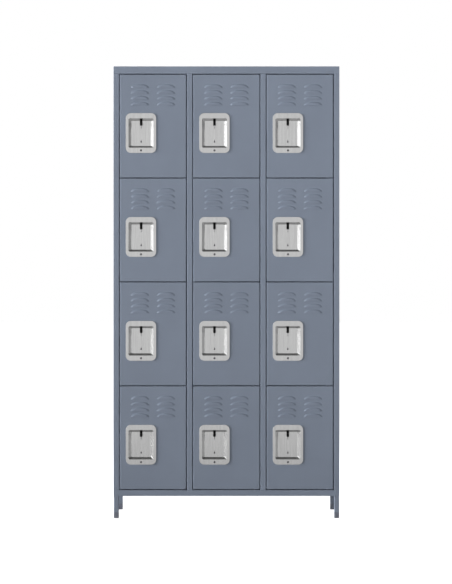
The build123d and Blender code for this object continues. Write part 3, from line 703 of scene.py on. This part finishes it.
def build_cup():
    """The drawn cup: rolled flange, rounded mouth, drafted walls and flat well, with its slot."""
    side, end = (FLANGE[0] - MOUTH[0]) / 2, (FLANGE[1] - MOUTH[1]) / 2
    mesh = bmesh.new()
    rings = []
    for inset_x, inset_z, radius, depth in (
        flange_sections() + mouth_sections(side, end) + well_sections(side, end)
    ):
        outline = rounded_rectangle(FLANGE[0] - 2 * inset_x, FLANGE[1] - 2 * inset_z, radius)
        rings.append(add_ring(mesh, outline, depth))
    for first, second in zip(rings, rings[1:]):
        bridge(mesh, first, second)
    faces = fill(mesh, loop_edges(mesh, rings[-1]))
    turn_outwards(mesh, faces[0], Vector((0, -1, 0)))
    thicken(mesh, PANEL)
    shell = to_data(mesh, "cup_shell", stainless)
    slot = prism(slot_outline(SLOT_HALF, SLOT_BOTTOM, SLOT_TOP), *SLOT_CUT)
    shell = cut(shell, to_data(slot, "slot_cutter", stainless))
    notch = prism(rounded_rectangle(*NOTCH, 3), *NOTCH_CUT)
    notch_place = Matrix.Translation((0, 0, SLOT_BOTTOM - NOTCH_DROP))
    return cut(shell, to_data(notch, "notch_cutter", stainless, notch_place))


SIDEWAYS = Matrix.Rotation(math.radians(90), 4, "Z")  # turns depth into width


def build_eye():
    """The padlock eye: a tongue through the trigger's fork, with the shackle's hole."""
    low, high = SLOT_BOTTOM - EYE_DROP, TRIGGER_TOP - EYE_SHORT
    outline = [
        Vector((EYE_BACK, low)), Vector((EYE_NECK, low)), Vector((EYE_FRONT, low + EYE_SLOPE)),
        Vector((EYE_FRONT, high)), Vector((EYE_BACK, high)),
    ]
    shackle = arc(SHACKLE, SHACKLE_RADIUS, 180, -165, 23)
    mesh = prism(outline, -EYE_HALF, EYE_HALF, [shackle], SMALL_EDGE)
    return to_data(mesh, "padlock_eye", stainless, SIDEWAYS)


def cross_recess(size, near, far):
    """A screw's cross, to be cut out of its head."""
    arm, half = size, size * CROSS_ARM
    outline = [
        (arm, half), (half, half), (half, arm), (-half, arm), (-half, half), (-arm, half),
        (-arm, -half), (-half, -half), (-half, -arm), (half, -arm), (half, -half), (arm, -half),
    ]
    return to_data(prism([Vector(p) for p in outline], near, far), "cross", stainless)


def dome(radius, height, steps=6):
    """Half profile of a low domed head, its seat at depth 0."""
    points = [(radius, 0.0)]
    for step in range(1, steps + 1):
        angle = step / steps * math.pi / 2 * DOME_END
        points.append((radius * math.cos(angle), -height * math.sin(angle)))
    return points


def build_lip_screw():
    """The cross-headed screw in the cup's lower lip."""
    radius, length = LIP_SCREW_SHANK
    screw = turned([(radius, length), (radius, 0.0)] + dome(*LIP_SCREW_HEAD))
    data = to_data(screw, "lip_screw", dark_steel)
    return cut(data, cross_recess(*LIP_SCREW_CROSS))


def build_guide_rivet():
    """The rivet that the latch plate slides on. Its head in the well is drawn out upwards."""
    start, seat, end = RIVET_REACH
    mesh = turned([
        (RIVET_BACK, end), (RIVET_BACK, seat), (RIVET_RADIUS, seat), (RIVET_RADIUS, start),
    ])
    radius, height, rise = RIVET_HEAD
    rings = []
    for step in range(7):
        angle = step / 6 * math.pi / 2 * RIVET_DOME_END
        share = math.cos(angle)
        outline = arc((0, 0), radius * share, 150, 390, 20) + [Vector((0, height * share))]
        rings.append(add_ring(mesh, outline, -rise * math.sin(angle)))
    for first, second in zip(rings, rings[1:]):
        bridge(mesh, first, second)
    mesh.faces.new(rings[0])
    mesh.faces.new(rings[-1])
    bmesh.ops.recalc_face_normals(mesh, faces=mesh.faces[:])
    return to_data(mesh, "guide_rivet", dark_steel)


# ---------------------------------------- trigger and latch
def build_trigger():
    """The black lift trigger: a round-ended bar, forked around the padlock eye."""
    bar = prism(
        slot_outline(TRIGGER_HALF, TRIGGER_BOTTOM, TRIGGER_TOP),
        TRIGGER_FRONT, LATCH_FRONT, (), TRIGGER_EDGE,
    )
    data = to_data(bar, "trigger", black)
    fork = prism(upright(-FORK_HALF, FORK_HALF, FORK_BOTTOM, FORK_TOP), FORK_FRONT, FORK_BACK)
    data = cut(data, to_data(fork, "fork", black))
    shackle = turned([(SHACKLE_RADIUS, -CUTTER_REACH), (SHACKLE_RADIUS, CUTTER_REACH)])
    place = Matrix.Translation((0, *SHACKLE)) @ SIDEWAYS
    return cut(data, to_data(shackle, "shackle", black, place))


def build_latch_plate():
    """The plate behind the well, with its guide slot and the arm that reaches the keeper."""
    low, high = panel_box("latch_r1c1")
    low, high = low - cup_origin("r1c1"), high - cup_origin("r1c1")
    width, corner = LATCH_PLATE
    middle = Vector((0, (high.z + low.z) / 2))
    body = [point + middle for point in rounded_rectangle(width, high.z - low.z, corner, 4)]
    slot_middle = Vector((0, GUIDE_Z - LATCH_GUIDE_DROP))
    guide = [point + slot_middle for point in rounded_rectangle(*LATCH_GUIDE, 5)]
    mesh = prism(body, LATCH_FRONT, LATCH_FRONT + LATCH_SHEET, [guide], SMALL_EDGE)
    plate = to_data(mesh, "latch_plate", black)
    near, far = LATCH_FRONT + ARM_INSET, LATCH_FRONT + LATCH_SHEET - ARM_INSET
    arm = prism(upright(low.x, 0, ARM_BOTTOM, ARM_TOP), near, far, (), SMALL_EDGE)
    return cut(plate, to_data(arm, "arm", black), "UNION")


# ---------------------------------------- the twelve doors
# A piece's mesh, its body, its slot, the node that it stands for and the function that places it.
pieces = {
    "door_skin": (build_door(), "door", "door_paint", "door_panel", door_origin),
    "cup_skin": (build_cup(), "door", "stainless", "handle_cup", cup_origin),
    "padlock_eye": (build_eye(), "door", "stainless", None, cup_origin),
    "guide_rivet": (build_guide_rivet(), "door", "stainless", None, rivet_origin),
    "lip_screw": (build_lip_screw(), "door", "zinc_steel", None, screw_origin),
    "trigger_bar": (build_trigger(), "trigger", "black_trigger", "latch", cup_origin),
    "latch_bar": (build_latch_plate(), "trigger", "black_trigger", None, cup_origin),
}
for cell in CELLS:
    for name, (data, body, slot, node, origin) in pieces.items():
        nodes = [f"{node}_{cell}"] if node else []
        put(f"{name}_{cell}", data, f"{body}_{cell}", nodes, origin(cell))


# ---------------------------------------- casing
FACE_UP = Matrix.Rotation(math.radians(-90), 4, "X")  # turns a tray's face from -Y to +Z
FACE_BACK = Matrix.Rotation(math.radians(180), 4, "Z")  # turns a tray's face from -Y to +Y

top_low, top_high = panel_box("top_panel")
bottom_low, bottom_high = panel_box("bottom_panel")
body_width = top_high.x - top_low.x
body_depth = top_high.y - top_low.y
body_middle = (top_high.y + top_low.y) / 2
floor_z, ceiling_z = bottom_high.z, top_low.z
side_x = body_width / 2
back_y = top_high.y


def build_top():
    """The folded top cover, with two holes in its back for wall screws."""
    fold = top_high.z - top_low.z
    path = rounded_path([(FACE_RIM, 0), (0, 0), (0, fold), (TOP_LIP, fold)], BEND)
    place = Matrix.Translation((0, body_middle, top_high.z)) @ FACE_UP
    data = tray("top_cover", body_width, body_depth, path, CORNER, PANEL, paint, place)
    for side in (-1, 1):
        hole = turned([(ANCHOR_RADIUS, -ANCHOR_CUT), (ANCHOR_RADIUS, ANCHOR_CUT)], 32)
        anchor = Matrix.Translation((side * ANCHOR_SPACING / 2, back_y, ceiling_z + ANCHOR_RISE))
        data = cut(data, to_data(hole, "anchor", paint, anchor))
    return data


def build_base():
    """The folded bottom tray, its face up."""
    path = rounded_path([(FACE_RIM, 0), (0, 0), (0, bottom_high.z - bottom_low.z)], CORNER)
    place = Matrix.Translation((0, body_middle, bottom_high.z)) @ FACE_UP
    return tray("base_tray", body_width, body_depth, path, CORNER, PANEL, paint, place)


def build_back(name):
    """One back panel, its face at the back."""
    low, high = panel_box(name)
    path = rounded_path([(INNER_RIM, 0), (0, 0), (0, high.y - low.y)], BACK_BEND)
    middle = Matrix.Translation(((low.x + high.x) / 2, high.y, (low.z + high.z) / 2))
    size = (high.x - low.x, high.z - low.z)
    return tray(name + "_sheet", *size, path, BACK_CORNER, PANEL, paint, middle @ FACE_BACK)


put("top_cover", build_top(), "root", ["top_panel"])
put("base_tray", build_base(), "root", ["bottom_panel"])
for name in ("left_back_panel", "centre_back_panel", "right_back_panel"):
    put(name + "_sheet", build_back(name), "root", [name])


def islands(node):
    """The separate solids of a node, each as its list of points in millimetres."""
    mesh = bmesh.new()
    mesh.from_mesh(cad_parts[node].data)
    bmesh.ops.remove_doubles(mesh, verts=mesh.verts[:], dist=1e-6)
    left, found = set(mesh.verts), []
    while left:
        wave = {left.pop()}
        island = set(wave)
        while wave:
            near = {e.other_vert(v) for v in wave for e in v.link_edges}
            wave = near - island
            island |= wave
        left -= island
        found.append([vert.co / MM for vert in island])
    mesh.free()
    return sorted(found, key=lambda points: tuple(round(c, 1) for c in min(points, key=tuple)))


def corners_of(points):
    """Lowest and highest corner of a list of points."""
    axes = list(zip(*points))
    return Vector([min(axis) for axis in axes]), Vector([max(axis) for axis in axes])


for number, points in enumerate(islands("shelves"), 1):
    low, high = corners_of(points)
    path = rounded_path([(INNER_RIM, 0), (0, 0), (0, high.z - low.z)], SHELF_BEND)
    place = Matrix.Translation(((low.x + high.x) / 2, (low.y + high.y) / 2, high.z)) @ FACE_UP
    size = (high.x - low.x, high.y - low.y)
    data = tray(f"shelf_{number}", *size, path, SHELF_BEND, PANEL, paint, place)
    put(f"shelf_tray_{number}", data, "root", ["shelves"])

# ---------------------------------------- front frame
strike_notches = []
for row in range(ROWS):
    middle = cup_origin(f"r{row + 1}c1").z
    strike_notches.append(tuple(middle + rise for rise in STRIKE_NOTCH))
levels = sorted([floor_z, ceiling_z] + [edge for notch in strike_notches for edge in notch])


def notch_beyond(edge):
    """Says which cells of a strike flange are its notches."""
    def missing(middle, z):
        in_notch = any(low < z < high for low, high in strike_notches)
        on_flange = middle.y > front + STRIKE_DEPTH - SHEET / 2
        return in_notch and on_flange and middle.x > edge + STRIKE_NOTCH_START
    return missing


def strike_end(edge):
    """The strike flange's outline, from the opening's edge."""
    depth = front + STRIKE_DEPTH
    return [(edge, front), (edge, depth), (edge + STRIKE, depth)]


def build_left_side():
    """The left side, folded into the stile and strike flange of the left column."""
    edge = -side_x + MEMBER
    corners = [(-side_x, back_y), (-side_x, front)] + strike_end(edge)
    return folded("left_side", corners, CORNER, PANEL, levels, notch_beyond(edge))


def build_right_side():
    """The right side, folded into the stile on the right column's hinge side."""
    edge, depth = side_x - MEMBER, front + RETURN_DEPTH
    corners = [
        (edge + STRIKE, depth), (edge, depth), (edge, front), (side_x, front), (side_x, back_y),
    ]
    return folded("right_side", corners, CORNER, PANEL, [floor_z, ceiling_z])


def build_mullion(name):
    """A mullion: hinge side of one column and strike flange of the next."""
    left = panel_box(name)[0].x
    edge, depth = left + MEMBER, front + RETURN_DEPTH
    hinge_side = [(left + MEMBER / 2 - RETURN_SHORT, depth), (left, depth), (left, front)]
    corners = hinge_side + strike_end(edge)
    return folded(name + "_sheet", corners, FOLD, SHEET, levels, notch_beyond(edge))


put("left_side_sheet", build_left_side(), "root", ["left_side_panel"])
put("right_side_sheet", build_right_side(), "root", ["right_side_panel"])
for name in ("left_mullion", "right_mullion"):
    put(name + "_sheet", build_mullion(name), "root", [name])


# ---------------------------------------- small parts
SAME_STATION = 0.02  # millimetres between points taken as one station along the axis
LEAST_RADIUS = 0.5  # a point nearer to the axis is the middle of an end face
DEPTH_TO_AXIS = (  # turns that lay depth along X, Y or Z
    Matrix.Rotation(math.radians(-90), 4, "Z"),
    Matrix.Identity(4),
    Matrix.Rotation(math.radians(90), 4, "X"),
)


def revolved_about(points, axis):
    """A solid of revolution turned again finely, its radii read from its own points."""
    low, high = corners_of(points)
    middle = (low + high) / 2
    across = [i for i in range(3) if i != axis]
    stations = set()
    for point in points:
        arm = math.hypot(*(point[i] - middle[i] for i in across))
        stations.add((round(point[axis] - low[axis], 2), round(arm, 1)))
    profile = []
    for along in sorted({station for station, arm in stations}):
        arms = {arm for station, arm in stations if abs(station - along) < SAME_STATION}
        arms = sorted(arm for arm in arms if arm > LEAST_RADIUS)
        if profile and abs(arms[-1] - profile[-1][0]) < abs(arms[0] - profile[-1][0]):
            arms.reverse()
        profile += [(arm, along) for arm in arms]
    base = middle.copy()
    base[axis] = low[axis]
    return turned(profile, 32), Matrix.Translation(base) @ DEPTH_TO_AXIS[axis]


def long_axis(points):
    """The axis along which a screw or pin is longest."""
    low, high = corners_of(points)
    sizes = high - low
    return max(range(3), key=lambda i: sizes[i])


def turned_group(node, name, material, bevel, axis=None):
    """Every solid of a node turned again with fine steps, as one piece."""
    whole = bmesh.new()
    for points in islands(node):
        mesh, place = revolved_about(points, long_axis(points) if axis is None else axis)
        bmesh.ops.transform(mesh, matrix=place, verts=mesh.verts[:])
        copy = bpy.data.meshes.new("part")
        mesh.to_mesh(copy)
        mesh.free()
        whole.from_mesh(copy)
    piece = put(name, to_data(whole, name, material), "root", [node])
    soften(piece, bevel)


turned_group("pivot_pins", "hinge_pins", dark_steel, 0.3, 2)
turned_group("panel_screws", "casing_screws", zinc, 0.8)
turned_group("door_buffers", "rubber_buffers", rubber, 0.8, 1)


def foot_stations(size):
    """Widths of a foot cap by height: an eased tread, a stepped rim and the plug in the leg."""
    tread = [(size - less, height) for less, height in FOOT_TREAD]
    rim, plug = size - FOOT_STEP, size - FOOT_PLUG_INSET
    rim_start = FOOT_HEIGHT - FOOT_RIM
    return tread + [
        (size, rim_start - FOOT_STEP), (rim, rim_start), (rim, FOOT_HEIGHT),
        (plug, FOOT_HEIGHT), (plug, FOOT_PLUG_TOP),
    ]


def build_feet():
    """The four moulded foot caps, as one mesh."""
    feet = bmesh.new()
    for points in islands("foot_caps"):
        low, high = corners_of(points)
        size = high.x - low.x
        middle = (low + high) / 2
        rings = []
        for width, height in foot_stations(size):
            outline = rounded_rectangle(width, width, FOOT_CORNER - (size - width) / 4, 5)
            places = [(middle.x + point.x, middle.y + point.y, height) for point in outline]
            rings.append([feet.verts.new(place) for place in places])
        for first, second in zip(rings, rings[1:]):
            bridge(feet, first, second)
        feet.faces.new(rings[0])
        feet.faces.new(rings[-1])
    bmesh.ops.recalc_face_normals(feet, faces=feet.faces[:])
    return to_data(feet, "feet", foot_plastic)


put("foot_mouldings", build_feet(), "root", ["foot_caps"])

# ---------------------------------------- carried-over nodes
PAINTED_NODES = (
    "left_partition", "right_partition", "front_left_leg", "front_right_leg", "rear_left_leg",
    "rear_right_leg", "pivot_tabs",
)
ZINC_NODES = ("keepers", "leg_bolts", "leg_nuts")
for names, material in ((PAINTED_NODES, paint), (ZINC_NODES, zinc)):
    for name in names:
        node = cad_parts[name]
        node.data.materials.clear()
        node.data.materials.append(material)

# ---------------------------------------- floor and surroundings
def seen_or_lighting(tree, seen, lighting, output):
    """One shader for what the camera sees of the studio, another for the light it gives."""
    path = tree.nodes.new("ShaderNodeLightPath")
    mix = tree.nodes.new("ShaderNodeMixShader")
    tree.links.new(path.outputs["Is Camera Ray"], mix.inputs["Fac"])
    tree.links.new(lighting.outputs[0], mix.inputs[1])
    tree.links.new(seen.outputs[0], mix.inputs[2])
    tree.links.new(mix.outputs[0], output.inputs["Surface"])


def studio_floor():
    """A white floor to the camera. As a light it is dim near the locker and brighter far off."""
    material = bpy.data.materials.new("studio_floor")
    material.use_nodes = True
    tree = material.node_tree
    seen = tree.nodes["Principled BSDF"]
    seen.inputs["Base Color"].default_value = (*FLOOR_TONE, 1)
    seen.inputs["Roughness"].default_value = 0.9
    seen.inputs["Emission Color"].default_value = (1, 1, 1, 1)
    seen.inputs["Emission Strength"].default_value = FLOOR_GLOW
    lighting = tree.nodes.new("ShaderNodeEmission")
    place = tree.nodes.new("ShaderNodeTexCoord").outputs["Object"]
    reach = tree.nodes.new("ShaderNodeVectorMath")
    reach.operation = "LENGTH"
    tree.links.new(place, reach.inputs[0])
    strength = spread_between(tree, reach.outputs["Value"], *FLOOR_LIGHT, FLOOR_SPAN)
    tree.links.new(strength, lighting.inputs["Strength"])
    seen_or_lighting(tree, seen, lighting, tree.nodes["Material Output"])
    bpy.ops.mesh.primitive_plane_add(size=FLOOR_SIZE, location=(0, 0, FLOOR_Z))
    floor = bpy.context.object
    floor.name = "studio_floor"
    floor.data.materials.append(material)


def level_light(tree, place):
    """Full light from the level, fading up and down to the zenith's."""
    parts = tree.nodes.new("ShaderNodeSeparateXYZ")
    tree.links.new(place, parts.inputs[0])
    height = tree.nodes.new("ShaderNodeMath")
    height.operation = "ABSOLUTE"
    tree.links.new(parts.outputs["Z"], height.inputs[0])
    band = tree.nodes.new("ShaderNodeMapRange")
    band.interpolation_type = "SMOOTHERSTEP"
    band.inputs["From Max"].default_value = BAND_TOP
    band.inputs["To Min"].default_value = 1.0
    band.inputs["To Max"].default_value = ZENITH
    tree.links.new(height.outputs[0], band.inputs["Value"])
    return band.outputs["Result"]


def light_from(tree, place, direction, low, high):
    """Light from around a direction: low square to it and beyond, high along it."""
    dot = tree.nodes.new("ShaderNodeVectorMath")
    dot.operation = "DOT_PRODUCT"
    dot.inputs[1].default_value = Vector(direction).normalized()
    tree.links.new(place, dot.inputs[0])
    return spread_between(tree, dot.outputs["Value"], low, high, (0.0, 1.0))


def studio_world():
    """White to the camera. As a light it is brightest on the level, at the front left."""
    world = bpy.data.worlds.new("studio")
    world.use_nodes = True
    tree = world.node_tree
    place = tree.nodes.new("ShaderNodeTexCoord").outputs["Generated"]
    strength = tree.nodes.new("ShaderNodeMath")
    strength.operation = "MULTIPLY"
    tree.links.new(level_light(tree, place), strength.inputs[0])
    around = light_from(tree, place, BRIGHT_SIDE, SIDE_LIGHT, BRIGHT_LIGHT)
    tree.links.new(around, strength.inputs[1])
    lighting = tree.nodes["Background"]
    lighting.inputs["Color"].default_value = (1, 1, 1, 1)
    tree.links.new(strength.outputs[0], lighting.inputs["Strength"])
    seen = tree.nodes.new("ShaderNodeBackground")
    seen.inputs["Color"].default_value = (1, 1, 1, 1)
    seen_or_lighting(tree, seen, lighting, tree.nodes["World Output"])
    bpy.context.scene.world = world


studio_floor()
studio_world()


# ---------------------------------------- lights
def area_light(name, place, target, size, power):
    """A soft rectangular light that looks at a target."""
    light = bpy.data.lights.new(name, "AREA")
    light.shape = "RECTANGLE"
    light.size, light.size_y = size
    light.energy = power
    lamp = bpy.data.objects.new(name, light)
    bpy.context.scene.collection.objects.link(lamp)
    lamp.location = place
    lamp.rotation_euler = (Vector(target) - Vector(place)).to_track_quat("-Z", "Y").to_euler()


def sun_light(name, direction, power, spread):
    """A distant light from a direction; its spread is the angle that it takes up, in degrees."""
    sun = bpy.data.lights.new(name, "SUN")
    sun.energy = power
    sun.angle = math.radians(spread)
    lamp = bpy.data.objects.new(name, sun)
    bpy.context.scene.collection.objects.link(lamp)
    lamp.rotation_euler = Vector(direction).to_track_quat("Z", "Y").to_euler()
    return lamp


# The key gives the shading and shadows, and the sheen is what the steel shows of it.
sun_light("key", KEY_FROM, KEY_POWER, KEY_SPREAD).visible_glossy = False
sun_light("sheen", SHEEN_FROM, SHEEN_POWER, SHEEN_SPREAD).visible_diffuse = False
area_light("side_fill", SIDE_FILL_FROM, BODY_MIDDLE, FILL_SIZE, SIDE_FILL_POWER)
area_light("top_fill", TOP_FILL_FROM, BODY_TOP, FILL_SIZE, TOP_FILL_POWER)

# ---------------------------------------- camera
camera_data = bpy.data.cameras.new("camera")
camera_data.sensor_fit = "VERTICAL"
camera_data.sensor_height = SENSOR
camera_data.lens = SENSOR * CAMERA_DISTANCE / PICTURE_SPAN
camera = bpy.data.objects.new("camera", camera_data)
bpy.context.scene.collection.objects.link(camera)
camera.location = (CAMERA_X, front * MM - CAMERA_DISTANCE, CAMERA_Z)
camera.rotation_euler = (math.radians(90), 0, 0)
bpy.context.scene.camera = camera
bpy.context.scene.view_settings.view_transform = "Standard"
